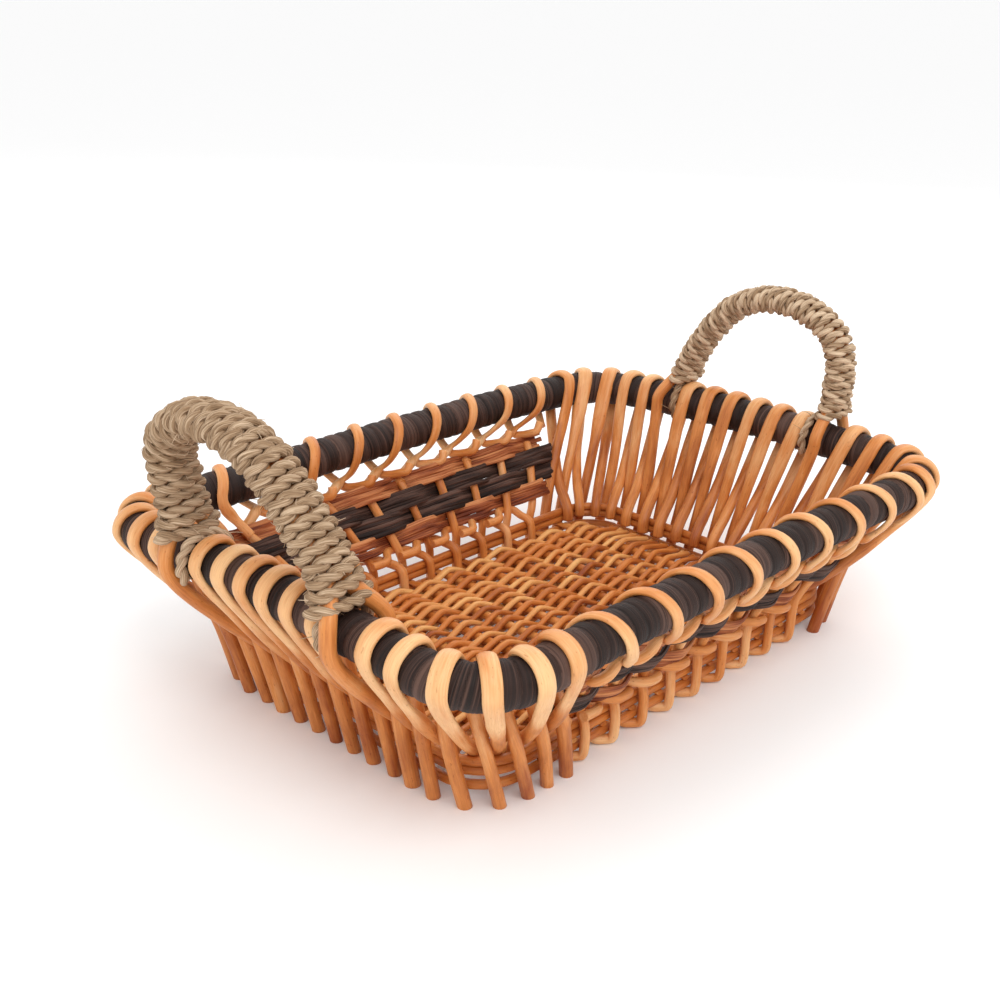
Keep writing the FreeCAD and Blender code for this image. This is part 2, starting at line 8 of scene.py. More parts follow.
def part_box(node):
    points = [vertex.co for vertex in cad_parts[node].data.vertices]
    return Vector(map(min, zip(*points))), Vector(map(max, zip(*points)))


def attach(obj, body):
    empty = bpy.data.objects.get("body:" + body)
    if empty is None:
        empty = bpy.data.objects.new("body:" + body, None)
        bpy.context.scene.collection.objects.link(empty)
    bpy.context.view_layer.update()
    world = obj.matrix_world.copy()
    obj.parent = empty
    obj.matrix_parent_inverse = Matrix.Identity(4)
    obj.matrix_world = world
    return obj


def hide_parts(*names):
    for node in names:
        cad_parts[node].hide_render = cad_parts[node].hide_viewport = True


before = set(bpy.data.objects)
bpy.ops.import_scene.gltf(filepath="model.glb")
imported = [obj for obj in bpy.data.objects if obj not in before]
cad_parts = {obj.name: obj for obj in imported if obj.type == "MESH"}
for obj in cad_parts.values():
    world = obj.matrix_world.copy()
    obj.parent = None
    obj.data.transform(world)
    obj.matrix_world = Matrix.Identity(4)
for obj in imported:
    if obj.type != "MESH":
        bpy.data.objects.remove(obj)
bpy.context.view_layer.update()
mm = 0.001
rng = random.Random(11)

# camera, the first thing made

cameraSetup = {
    "target": (0.0348, 0.0694, 0.0555),
    "distance": 0.814,
    "azimuth": -46.66,  # degrees, 0 looks along +Y
    "elevation": 21.19,
    "roll": 1.19,
    "lens": 49.4,
    "sensor": 36.0,
    "nearest": 0.05,
}


def makeCamera(setup):
    azimuth = math.radians(setup["azimuth"])
    elevation = math.radians(setup["elevation"])
    roll = math.radians(setup["roll"])
    back = Vector((math.sin(azimuth) * math.cos(elevation),
                   -math.cos(azimuth) * math.cos(elevation),
                   math.sin(elevation)))
    level = Vector((0, 0, 1)).cross(back).normalized()
    upright = back.cross(level)
    right = level * math.cos(roll) + upright * math.sin(roll)
    above = upright * math.cos(roll) - level * math.sin(roll)
    place = Vector(setup["target"]) + back * setup["distance"]
    data = bpy.data.cameras.new("camera")
    data.lens = setup["lens"]
    data.sensor_width = setup["sensor"]
    data.clip_start = setup["nearest"]
    camera = bpy.data.objects.new("camera", data)
    turned = Matrix((right, above, back)).transposed().to_4x4()
    camera.matrix_world = Matrix.Translation(place) @ turned
    bpy.context.scene.collection.objects.link(camera)
    bpy.context.scene.camera = camera


makeCamera(cameraSetup)
print("camera placed")

# the basket's main sizes in mm; the ones below the dictionary come from the frame's own boxes

basket = {
    "coreRadius": 7.5,
    "rimCorner": 32.0,
    "baseCorner": 25.0,
    "endRise": 6.4,  # rim, middle of an end above a corner
    "sideRise": 4.4,  # rim, middle of a side above a corner
    "rodRadius": 3.3,
    "stakeRadius": 2.5,
    "rodPitch": 16.7,
    "rodCount": 12,  # across an end, the handle's own rods included
    "handleRod": 2,  # which of them is the handle's, counted from 0
    "cornerPitch": 17.2,
    "endShare": 0.81,  # rod spacing on the base over rod spacing on the rim
    "cornerShare": 0.75,
    "stakePitch": 31.2,
    "stakeFootPitch": 22.0,
    "stakeShift": {-1: 3.0, 1: -6.0},  # front row, back row
    "firstStake": {-1: -80.0, 1: -84.0},
    "stakeCount": 9,
    "midShare": 0.24,  # where the rods cross, up the wall
    "midOut": 4.2,  # and how far outside its line
}


def nodeBox(name):
    low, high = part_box(name)
    return np.array(low) / mm, np.array(high) / mm


coreHigh = nodeBox("rim_core")[1]
wrapHigh = nodeBox("rim_wrap")[1]
hoopLow, hoopHigh = nodeBox("base_hoop_upper")
stickLow, stickHigh = nodeBox("base_sticks")
coreRadius = basket["coreRadius"]
rimRadius = coreRadius + (wrapHigh[0] - coreHigh[0])
hoopRadius = (hoopHigh[2] - hoopLow[2]) / 2
rimRing = (coreHigh[0] - coreRadius, coreHigh[1] - coreRadius, basket["rimCorner"])
baseRing = (hoopHigh[0] - hoopRadius, hoopHigh[1] - hoopRadius, basket["baseCorner"])
rimLow = coreHigh[2] - coreRadius - basket["endRise"]
frameTop = hoopHigh[2]
stickLevel = (stickLow[2] + stickHigh[2]) / 2
middleRod = (basket["rodCount"] - 1) / 2
endRuns = [basket["rodPitch"] * (i - middleRod) for i in range(basket["rodCount"])]
handleRuns = (endRuns[basket["handleRod"]], endRuns[-1 - basket["handleRod"]])
up = np.array((0.0, 0.0, 1.0))
print("rim radius %.1f, base ring %.1f x %.1f" % (rimRadius, baseRing[0], baseRing[1]))


def vec(x, y, z=0.0):
    return np.array((x, y, z), float)


def unit(v):
    return v / max(np.linalg.norm(v), 1e-9)


def unitRows(rows):
    return rows / np.linalg.norm(rows, axis=1)[:, None]


def blend(first, second, share):
    return first + (second - first) * share


def eased(share):
    # a share from 0 to 1 that starts and ends slowly
    return share * share * (3 - 2 * share)


def ringAt(ring, end, run):
    # point and outward normal on a rounded rectangle, a run counter-clockwise from an end's middle
    halfX, halfY, radius = ring
    turn = math.copysign(1.0, run)
    rest = abs(run)
    straight = halfY - radius
    arc = radius * math.pi / 2
    if rest <= straight:
        point, normal = vec(halfX, rest), vec(1, 0)
    elif rest <= straight + arc:
        angle = (rest - straight) / radius
        normal = vec(math.cos(angle), math.sin(angle))
        point = vec(halfX - radius, straight) + normal * radius
    else:
        point, normal = vec(halfX - radius - (rest - straight - arc), halfY), vec(0, 1)
    flip = vec(end, end * turn, 1)
    return point * flip, normal * flip


def rimHeight(point):
    endPart = basket["endRise"] * (1 - (point[1] / rimRing[1]) ** 2)
    sidePart = basket["sideRise"] * (1 - (point[0] / rimRing[0]) ** 2)
    return rimLow + endPart + sidePart


def rimAt(end, run):
    point, normal = ringAt(rimRing, end, run)
    point[2] = rimHeight(point)
    return point, normal


def baseAt(end, run, height):
    point, normal = ringAt(baseRing, end, run)
    point[2] = height
    return point, normal


# paths and tubes

surface = {
    "step": 1.4,  # usual distance between the points of a path
    "lumpEvery": 26, "lumpLobes": 4,  # points to a slow swelling, and swellings round a rod
    "roughEvery": 5,
    "grainSpread": 900,  # each rod gets its own place in the materials' noise
    "softHalf": 4,  # points on each side in a running mean
    "levelSlope": 0.2,  # a flatter rod gets no level cut
}


def runAlong(path):
    # distance from the start to each point of a path
    return np.concatenate(([0], np.cumsum(np.linalg.norm(np.diff(path, axis=0), axis=1))))


def readOff(spots, run, rows):
    # rows given at some distances, read off at others
    return np.stack([np.interp(spots, run, rows[:, k]) for k in range(3)], axis=1)


def softened(rows):
    # a running mean, with the end values held
    half = surface["softHalf"]
    kernel = np.ones(2 * half + 1) / (2 * half + 1)
    padded = np.pad(rows, ((half, half), (0, 0)), mode="edge")
    return np.stack([np.convolve(padded[:, k], kernel, mode="valid") for k in range(3)], axis=1)


def roundPath(points, step=surface["step"], closed=False, rounds=4):
    # the corners are cut a few times over, which leaves a smooth curve with evenly spaced points
    pts = np.array(points, float)
    for _ in range(rounds):
        following = np.roll(pts, -1, axis=0)
        near = pts * 0.75 + following * 0.25
        far = pts * 0.25 + following * 0.75
        if closed:
            pts = np.stack((near, far), axis=1).reshape(-1, 3)
        else:
            inner = np.stack((near[:-1], far[:-1]), axis=1).reshape(-1, 3)
            pts = np.vstack((pts[:1], inner[1:-1], pts[-1:]))
    if closed:
        pts = np.vstack((pts, pts[:1]))
    run = runAlong(pts)
    spots = np.linspace(0, run[-1], max(int(run[-1] / step), 4) + 1)
    return readOff(spots[:-1] if closed else spots, run, pts)


def pathFrames(path, side=None, closed=False):
    # tangent, width direction and thickness direction at each point of a path
    if closed:
        tangent = unitRows(np.roll(path, -1, axis=0) - np.roll(path, 1, axis=0))
    else:
        tangent = unitRows(np.gradient(path, axis=0))
    wide = np.empty_like(path)
    if side is not None:
        wide[:] = side
        wide = unitRows(wide - tangent * np.sum(wide * tangent, axis=1)[:, None])
    else:
        current = unit(np.cross(tangent[0], up + vec(0.1, 0.2)))
        for i, direction in enumerate(tangent):
            current = unit(current - direction * np.dot(current, direction))
            wide[i] = current
    return tangent, wide, np.cross(tangent, wide)


def ringsRound(path, wide, deep, across, through):
    # a ring of points round each point of a path
    return path[:, None, :] + wide[:, None, :] * across[..., None] + deep[:, None, :] * through[..., None]


def levelEnd(rings, tangent, end, height):
    # slides the end ring along the rod onto a level cut
    slope = tangent[end][2]
    if abs(slope) >= surface["levelSlope"]:
        shift = (height - rings[end][:, 2]) / slope
        rings[end] += tangent[end][None, :] * shift[:, None]


def smoothNoise(count, around, stride, lobes, closed=False):
    # gentle random waves over a tube's surface, between -1 and 1
    rows = max(int(count / stride) + 3, 4)
    coarse = np.array([[rng.uniform(-1, 1) for _ in range(lobes)] for _ in range(rows)])
    if closed:
        coarse[-1] = coarse[0]
    at = np.linspace(0, rows - 1, count)
    low = np.clip(at.astype(int), 0, rows - 2)
    part = eased(at - low)[:, None]
    lines = coarse[low] * (1 - part) + coarse[low + 1] * part
    turn = np.arange(around) * lobes / around
    left = turn.astype(int) % lobes
    share = eased(turn - turn.astype(int))
    return lines[:, left] * (1 - share) + lines[:, (left + 1) % lobes] * share


def wander(path, amount, wave):
    # a slow random drift, because no rod is quite straight
    count = len(path)
    knots = max(int(count * surface["step"] / wave) + 3, 4)
    drift = np.array([[rng.uniform(-1, 1) for _ in range(3)] for _ in range(knots)])
    moved = readOff(np.linspace(0, knots - 1, count), np.arange(knots), drift)
    return path + softened(moved) * amount


class MeshDraft:
    # gathers many tubes into one mesh, with what the materials read stored on its points
    def __init__(self):
        self.points, self.faces = [], []
        self.grain, self.tone = [], []
        self.count = 0

    def addGrid(self, rings, grain, tone, closed):
        count, around = rings.shape[:2]
        self.points.append(rings.reshape(-1, 3))
        self.grain.append(grain.reshape(-1, 3))
        self.tone.append(np.asarray(tone, float).reshape(-1))
        index = self.count + np.arange(count * around).reshape(count, around)
        ahead = np.roll(index, -1, axis=0)
        quads = np.stack((index, np.roll(index, -1, axis=1), np.roll(ahead, -1, axis=1), ahead), axis=-1)
        self.faces.extend((quads if closed else quads[:-1]).reshape(-1, 4).tolist())
        self.count += count * around
        if not closed:
            self.faces.append(index[0][::-1].tolist())
            self.faces.append(index[-1].tolist())

    def addTube(self, path, width, thick=None, side=None, around=12, tone=0.5, closed=False,
                levelEnds=(), roughness=0.0, lumps=0.0):
        count = len(path)
        tangent, wide, deep = pathFrames(path, side, closed)
        width = np.broadcast_to(np.asarray(width, float), (count,))
        thick = width if thick is None else np.broadcast_to(np.asarray(thick, float), (count,))
        angles = np.arange(around) * 2 * math.pi / around
        swell = np.ones((count, around))
        if lumps:
            swell += lumps * smoothNoise(count, around, surface["lumpEvery"], surface["lumpLobes"], closed)
        if roughness:
            swell += roughness * smoothNoise(count, around, surface["roughEvery"], around // 2, closed)
        across = (width[:, None] * np.cos(angles)[None, :]) * swell
        through = (thick[:, None] * np.sin(angles)[None, :]) * swell
        rings = ringsRound(path, wide, deep, across, through)
        for end, height in levelEnds:
            levelEnd(rings, tangent, end, height)
        along = np.broadcast_to(runAlong(path)[:, None], (count, around))
        grain = np.stack((along, across, through), axis=-1)
        grain = grain + vec(*[rng.uniform(0, surface["grainSpread"]) for _ in range(3)])
        tones = np.broadcast_to(np.asarray(tone, float).reshape(-1, 1), (count, around))
        self.addGrid(rings, grain, tones, closed)

    def build(self, name, material):
        mesh = bpy.data.meshes.new(name)
        mesh.from_pydata((np.vstack(self.points) * mm).tolist(), [], self.faces)
        grain = mesh.attributes.new("grain", "FLOAT_VECTOR", "POINT")
        grain.data.foreach_set("vector", (np.vstack(self.grain) * mm).astype(np.float32).ravel())
        tone = mesh.attributes.new("tone", "FLOAT", "POINT")
        tone.data.foreach_set("value", np.concatenate(self.tone).astype(np.float32))
        mesh.shade_smooth()
        for polygon in mesh.polygons:
            if len(polygon.vertices) > 4:  # the cut ends stay flat
                polygon.use_smooth = False
        mesh.materials.append(material)
        piece = bpy.data.objects.new(name, mesh)
        bpy.context.scene.collection.objects.link(piece)
        return piece


def addPiece(draft, node, material, slotName, name=None):
    # a piece is named as its node unless it has a name of its own
    words = node.split("_")
    name = name or words[0] + "".join(word.capitalize() for word in words[1:])
    piece = draft.build(name, material)
    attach(piece, "root")
    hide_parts(node)


# materials

class NodeSheet:
    # a short way to lay out a material's nodes
    def __init__(self, name):
        self.material = bpy.data.materials.new(name)
        self.material.use_nodes = True
        self.tree = self.material.node_tree
        self.shader = self.tree.nodes["Principled BSDF"]

    def node(self, kind, **settings):
        made = self.tree.nodes.new(kind)
        for key, value in settings.items():
            setattr(made, key, value)
        return made

    def put(self, socket, value):
        # a number is set on the socket itself, and a node's result is linked to it
        if isinstance(value, (int, float)):
            socket.default_value = value
        else:
            self.tree.links.new(value, socket)

    def attribute(self, name, output):
        return self.node("ShaderNodeAttribute", attribute_name=name).outputs[output]

    def noise(self, coordinates, stretch, detail, roughness, distortion=0.0):
        mapping = self.node("ShaderNodeMapping")
        mapping.inputs["Scale"].default_value = stretch
        self.put(mapping.inputs["Vector"], coordinates)
        made = self.node("ShaderNodeTexNoise")
        self.put(made.inputs["Scale"], 1.0)
        self.put(made.inputs["Detail"], detail)
        self.put(made.inputs["Roughness"], roughness)
        self.put(made.inputs["Distortion"], distortion)
        self.put(made.inputs["Vector"], mapping.outputs["Vector"])
        return made.outputs["Fac"]

    def ramp(self, source, stops):
        made = self.node("ShaderNodeValToRGB")
        elements = made.color_ramp.elements
        while len(elements) < len(stops):
            elements.new(0.5)
        for element, (place, color) in zip(elements, stops):
            element.position = place
            element.color = (*color, 1.0)
        self.put(made.inputs["Fac"], source)
        return made.outputs["Color"]

    def maths(self, operation, first, second, clamp=False):
        made = self.node("ShaderNodeMath", operation=operation, use_clamp=clamp)
        self.put(made.inputs[0], first)
        self.put(made.inputs[1], second)
        return made.outputs["Value"]

    def sway(self, level, source, amount, clamp=False):
        # moves a level up and down by a noise, which has its middle at a half
        change = self.maths("MULTIPLY", self.maths("SUBTRACT", source, 0.5), amount)
        return self.maths("ADD", level, change, clamp)

    def darken(self, share, color, shade):
        made = self.node("ShaderNodeMix", data_type="RGBA", blend_type="MULTIPLY")
        self.put(made.inputs[0], share)
        self.put(made.inputs[6], color)  # 6, 7 and 2 are this node's colour sockets
        self.put(made.inputs[7], shade)
        return made.outputs[2]

    def finishWith(self, color, roughness, height, bump, depth):
        self.put(self.shader.inputs["Base Color"], color)
        self.put(self.shader.inputs["Roughness"], roughness)
        made = self.node("ShaderNodeBump")
        self.put(made.inputs["Strength"], bump)
        self.put(made.inputs["Distance"], depth)
        self.put(made.inputs["Height"], height)
        self.put(self.shader.inputs["Normal"], made.outputs["Normal"])
        return self.material


white = (1.0, 1.0, 1.0)
willowGrain = {
    "streaks": (45, 900, 900), "patches": (38, 130, 130),  # noise per metre, along and across
    "fine": (160, 3200, 3200), "specks": (420, 900, 900),
    "patchSway": 0.85, "streakSway": 0.45,
    "fineShade": (0.84, 0.79, 0.74), "fineShare": 0.8,
    "speckShade": (0.55, 0.36, 0.22), "speckShare": 0.6,
    "patchGloss": 0.22, "fineHeight": 0.5,
    "bump": 0.5, "bumpDepth": 0.0005,
    "sockets": {
        "Coat Weight": 0.08, "Coat Roughness": 0.3, "Specular IOR Level": 0.35,
        "Subsurface Weight": 0.06, "Subsurface Radius": (0.004, 0.002, 0.001),
    },
}
rodColors = {"dark": (0.34, 0.075, 0.012), "middle": (0.70, 0.26, 0.065), "light": (0.90, 0.53, 0.25),
             "gloss": 0.34}
baseColors = {"dark": (0.27, 0.052, 0.008), "middle": (0.64, 0.205, 0.038), "light": (0.86, 0.46, 0.16),
              "gloss": 0.36}


def willow(name, look):
    # peeled willow: long soft streaks, a few stains and specks, a thin coat of varnish
    grainLook = willowGrain
    sheet = NodeSheet(name)
    grain = sheet.attribute("grain", "Vector")
    tone = sheet.attribute("tone", "Fac")
    streaks = sheet.noise(grain, grainLook["streaks"], 4.0, 0.6)
    patches = sheet.noise(grain, grainLook["patches"], 3.0, 0.5, 0.4)
    fine = sheet.noise(grain, grainLook["fine"], 2.0, 0.5)
    specks = sheet.noise(grain, grainLook["specks"], 1.0, 0.5)
    level = sheet.sway(tone, patches, grainLook["patchSway"])
    level = sheet.sway(level, streaks, grainLook["streakSway"], True)
    color = sheet.ramp(level, [(0.08, look["dark"]), (0.5, look["middle"]), (0.92, look["light"])])
    shade = sheet.ramp(fine, [(0.3, grainLook["fineShade"]), (0.6, white)])
    color = sheet.darken(grainLook["fineShare"], color, shade)
    marks = sheet.ramp(specks, [(0.68, white), (0.78, grainLook["speckShade"])])
    color = sheet.darken(grainLook["speckShare"], color, marks)
    roughness = sheet.maths("ADD", sheet.maths("MULTIPLY", patches, grainLook["patchGloss"]), look["gloss"])
    height = sheet.maths("ADD", streaks, sheet.maths("MULTIPLY", fine, grainLook["fineHeight"]))
    for socket, value in grainLook["sockets"].items():
        sheet.shader.inputs[socket].default_value = value
    return sheet.finishWith(color, roughness, height, grainLook["bump"], grainLook["bumpDepth"])


fibreGrain = {
    "wideAlong": 0.6, "wideAcross": 0.3,  # the wider strands' noise over the narrow ones'
    "narrowSway": 0.75, "wideSway": 0.35,
    "middleTone": 0.55, "strandGloss": 0.3,
    "specular": 0.28,
    "bump": 0.9, "bumpDepth": 0.0008,
}
palmColors = {"dark": (0.006, 0.003, 0.002), "middle": (0.030, 0.013, 0.009), "light": (0.125, 0.066, 0.048),
              "along": 30, "across": 1500, "gloss": 0.46}
barkColors = {"dark": (0.110, 0.018, 0.006), "middle": (0.34, 0.088, 0.026), "light": (0.64, 0.26, 0.10),
              "along": 40, "across": 1300, "gloss": 0.42}
grassColors = {"dark": (0.070, 0.034, 0.015), "middle": (0.36, 0.225, 0.125), "light": (0.76, 0.57, 0.39),
               "along": 120, "across": 2600, "gloss": 0.68}


def fibres(name, look):
    # flat leaf or bark strands lying side by side along the grain
    along, across = look["along"], look["across"]
    wideAlong, wideAcross = along * fibreGrain["wideAlong"], across * fibreGrain["wideAcross"]
    sheet = NodeSheet(name)
    grain = sheet.attribute("grain", "Vector")
    tone = sheet.attribute("tone", "Fac")
    narrow = sheet.noise(grain, (along, across, across), 3.0, 0.6)
    wide = sheet.noise(grain, (wideAlong, wideAcross, wideAcross), 2.0, 0.5)
    level = sheet.maths("ADD", sheet.maths("MULTIPLY", narrow, fibreGrain["narrowSway"]),
                        sheet.maths("MULTIPLY", wide, fibreGrain["wideSway"]))
    level = sheet.maths("ADD", level, sheet.maths("SUBTRACT", tone, fibreGrain["middleTone"]), True)
    color = sheet.ramp(level, [(0.32, look["dark"]), (0.52, look["middle"]), (0.74, look["light"])])
    roughness = sheet.maths("ADD", sheet.maths("MULTIPLY", narrow, fibreGrain["strandGloss"]), look["gloss"])
    sheet.shader.inputs["Specular IOR Level"].default_value = fibreGrain["specular"]
    return sheet.finishWith(color, roughness, narrow, fibreGrain["bump"], fibreGrain["bumpDepth"])


rodWillow = willow("rodWillow", rodColors)
baseWillow = willow("baseWillow", baseColors)
darkPalm = fibres("darkPalm", palmColors)
redBark = fibres("redBark", barkColors)
seagrass = fibres("seagrass", grassColors)
print("materials made")

# base

hoops = {
    "fullness": 1.02,  # a touch thicker than the plain ring
    "drift": 0.35, "driftWave": 50,
    "cornerPoints": 7,
}
sticks = {
    "first": -105.0,
    "count": 11,
    "radius": 2.5,
    "reach": 0.55,  # into the hoops, in hoop radii
    "bow": 40,  # where a stick's slight bends are
    "flatLength": 4.5, "flatEase": 5.0,  # the ends are cut flat to go between the hoops
    "flatWidth": 2.4, "flatThick": 1.15,
}
weaving = {
    "radius": 1.5,
    "fullness": 1.28,  # the soaked rods are pressed together, so each looks fuller than its place
    "pitch": 4.1,
    "clearance": 0.6,
    "reachOn": 4.5,  # the ends are pushed in between the end rods
    "cornerCut": 0.4,  # shorter by this share of the corner
    "stickRoom": 5.0,  # a row leaves out a stick that is nearer than this to its end
    "lead": 0.7,  # how far it goes on past its last stick, in stick spacings
    "grip": 2.4,  # half the stretch that lies on a stick
    "slide": 1.6,
    "endDip": 1.0,
}


def makeHoops():
    halfX, halfY, radius = baseRing
    corners = ((1, 1, 0), (-1, 1, 90), (-1, -1, 180), (1, -1, 270))
    for level in ("lower", "middle", "upper"):
        height = nodeBox("base_hoop_" + level)[0][2] + hoopRadius
        points = []
        for cornerX, cornerY, first in corners:
            for k in range(hoops["cornerPoints"]):
                angle = math.radians(first + 90 / (hoops["cornerPoints"] - 1) * k)
                points.append(vec(cornerX * (halfX - radius) + radius * math.cos(angle),
                                  cornerY * (halfY - radius) + radius * math.sin(angle), height))
        path = wander(roundPath(points, 1.6, True, 2), hoops["drift"], hoops["driftWave"])
        draft = MeshDraft()
        draft.addTube(path, hoopRadius * hoops["fullness"], tone=0.42, closed=True, around=14, lumps=0.05)
        addPiece(draft, "base_hoop_" + level, baseWillow, "base_willow")


stickPlaces = [sticks["first"] + basket["stakeFootPitch"] * i for i in range(sticks["count"])]


def makeSticks():
    draft = MeshDraft()
    reach = baseRing[1] + hoopRadius * sticks["reach"]
    for x in stickPlaces:
        path = roundPath([vec(x, -reach, stickLevel), vec(x + 0.4, -sticks["bow"], stickLevel),
                          vec(x - 0.3, sticks["bow"], stickLevel), vec(x, reach, stickLevel)], 2.0)
        fromEnd = reach - np.abs(path[:, 1])
        full = np.clip((fromEnd - sticks["flatLength"]) / sticks["flatEase"], 0, 1)
        width = blend(sticks["flatWidth"], sticks["radius"], full)
        thick = blend(sticks["flatThick"], sticks["radius"], full)
        draft.addTube(path, width, thick, side=vec(1, 0), tone=rng.uniform(0.3, 0.6), lumps=0.04)
    addPiece(draft, "base_sticks", baseWillow, "base_willow")


def addWeaver(draft, row, y, halfX):
    # one rod along the basket, over one stick and under the next
    radius, grip = weaving["radius"], weaving["grip"]
    rise = sticks["radius"] + radius + 0.1
    lead = weaving["lead"] * basket["stakeFootPitch"]
    low = stickLevel - weaving["endDip"]
    held = [i for i, x in enumerate(stickPlaces) if abs(x) < halfX - weaving["stickRoom"]]
    start = -halfX if held[0] == 0 else stickPlaces[held[0]] - lead
    finish = halfX if held[-1] == len(stickPlaces) - 1 else stickPlaces[held[-1]] + lead
    points = [vec(start, y, low)]
    for i in held:
        z = stickLevel + (rise if (row + i) % 2 else -rise) * rng.uniform(0.88, 1.1)
        slide = weaving["slide"] * math.sin(i * 1.1 + row * 0.35) + rng.uniform(-0.8, 0.8)
        points.append(vec(stickPlaces[i] - grip, y + slide, z))
        points.append(vec(stickPlaces[i] + grip, y + slide + rng.uniform(-0.4, 0.4), z))
    points.append(vec(finish, y, low))
    path = wander(roundPath(points, 1.3, rounds=3), 0.35, 16)
    size = radius * weaving["fullness"] * rng.uniform(0.86, 1.12)
    taper = np.linspace(1.08, 0.86, len(path))
    if rng.random() < 0.5:  # half of them lie the other way round
        taper = taper[::-1]
    draft.addTube(path, size * taper * 1.06, size * taper * 0.94, around=9,
                  tone=rng.uniform(0.28, 0.85), lumps=0.12, roughness=0.05)


def makeWeavers():
    drafts = (MeshDraft(), MeshDraft())
    room = weaving["clearance"] + weaving["radius"]
    endRoom = hoopRadius + 2 * basket["rodRadius"] + room
    fullX = baseRing[0] - endRoom + weaving["reachOn"]
    clearY = baseRing[1] - hoopRadius - 2 * basket["stakeRadius"] - room
    rows = int(2 * clearY / weaving["pitch"])
    for row in range(rows + 1):
        y = weaving["pitch"] * (row - rows / 2)
        besideCorner = abs(y) > baseRing[1] - baseRing[2]
        halfX = fullX - (baseRing[2] * weaving["cornerCut"] if besideCorner else 0)
        addWeaver(drafts[row % 2], row, y, halfX)
    addPiece(drafts[0], "base_weavers_odd", baseWillow, "base_willow")
    addPiece(drafts[1], "base_weavers_even", baseWillow, "base_willow")


makeHoops()
makeSticks()
makeWeavers()
print("base woven")

# rim

rimWinding = {
    "step": 0.45,
    "around": 48,
    "bunchPitch": 8.6,  # one turn of the bunch of leaf strands
    "bunchRidge": 0.9,
    "strandPitch": 1.35,
    "strandRidge": 0.16,
    "slant": 5.0,  # how far a turn moves along in half a turn
    "slantWave": 61.0,
    "uneven": ((1.3, 13.7, 0.0), (0.8, 5.9, 1.0)),  # how far, over what length, from where
    "wobble": 0.4,
    "shades": (0.42, 0.66),
}


def rimPath(step):
    perimeter = 4 * (rimRing[0] + rimRing[1] - 2 * rimRing[2]) + 2 * math.pi * rimRing[2]
    quarter = perimeter / 4
    count = int(quarter / step)
    points = []
    for end, first in ((1, 0.0), (-1, -quarter), (-1, 0.0), (1, -quarter)):
        for k in range(count):
            points.append(rimAt(end, first + quarter * k / count)[0])
    return np.array(points)


def makeRim():
    winding = rimWinding
    path = rimPath(winding["step"])
    core = MeshDraft()
    core.addTube(path[::6], coreRadius, closed=True, around=16, tone=0.4)
    addPiece(core, "rim_core", baseWillow, "rim_bundle", "rimBundle")
    around = winding["around"]
    wide, deep = pathFrames(path, up, True)[1:]
    gaps = np.linalg.norm(np.roll(path, -1, axis=0) - path, axis=1)
    run = np.concatenate(([0], np.cumsum(gaps)[:-1]))[:, None]
    whole = gaps.sum()
    angles = (np.arange(around) * 2 * math.pi / around)[None, :]
    turns = round(whole / winding["bunchPitch"])
    strands = round(whole / winding["strandPitch"])
    lean = np.abs((angles / math.pi) % 2 - 1) * winding["slant"]
    along = run + lean * np.sin(run / winding["slantWave"])
    for reach, wave, start in winding["uneven"]:
        along = along + reach * np.sin(run / wave + start)
    turnsAlong = along / whole * turns
    wobble = smoothNoise(len(path), around, 30, 6, True)
    bunch = (1 - np.abs(2 * (turnsAlong % 1.0) - 1) ** 3) * winding["bunchRidge"]
    fine = np.abs(np.sin(math.pi * along / whole * strands + wobble * 1.6)) * winding["strandRidge"]
    base = rimRadius - winding["bunchRidge"] - winding["strandRidge"]
    radius = base + bunch + fine + wobble * winding["wobble"]
    rings = ringsRound(path, wide, deep, radius * np.cos(angles), radius * np.sin(angles))
    grain = np.empty(rings.shape)
    grain[..., 0] = angles * rimRadius * 0.5
    grain[..., 1] = along
    grain[..., 2] = np.floor(turnsAlong) * 3.0  # each turn is another piece of leaf
    shades = np.array([rng.uniform(*winding["shades"]) for _ in range(turns + 2)])
    draft = MeshDraft()
    draft.addGrid(rings, grain, shades[np.floor(turnsAlong).astype(int) % turns], True)
    addPiece(draft, "rim_wrap", darkPalm, "dark_palm", "rimWinding")


makeRim()
print("rim wound")

# end walls and corners

hairpinShape = {
    "outFoot": 0.55, "outMid": 0.27,  # shares of the rod spacing
    "inFoot": -0.45, "inMid": -0.23,
    "footGap": 0.3,  # between a leg and the base frame
    "aimBelow": 6.0, "aimIn": 1.2,  # the outer leg's line goes on to a point under the floor
    "inRest": 0.3, "inTop": 1.2,  # above the sticks, and above the frame
    "loopWidth": 4.4, "loopThick": 2.1,  # the rod is split flat where it goes over the rim
    "flatReach": 46, "flatEase": 26,
    "press": 0.6,
    "slip": 0.7, "lift": 2.5,  # how unevenly the rods stand
    "tone": 0.44, "toneSpread": 0.14,
    "splitTone": 0.30, "loopTone": 0.10,
    "splitFrom": 0.42, "splitEase": 8,  # the split face shows from the top of the loop inwards
    "footTone": 0.16, "footHeight": 40,
}


def baseRun(run):
    cornerStart = endRuns[-1] + basket["cornerPitch"]
    atEnd = basket["endShare"] * min(abs(run), cornerStart)
    atCorner = basket["cornerShare"] * max(abs(run) - cornerStart, 0.0)
    return math.copysign(atEnd + atCorner, run)


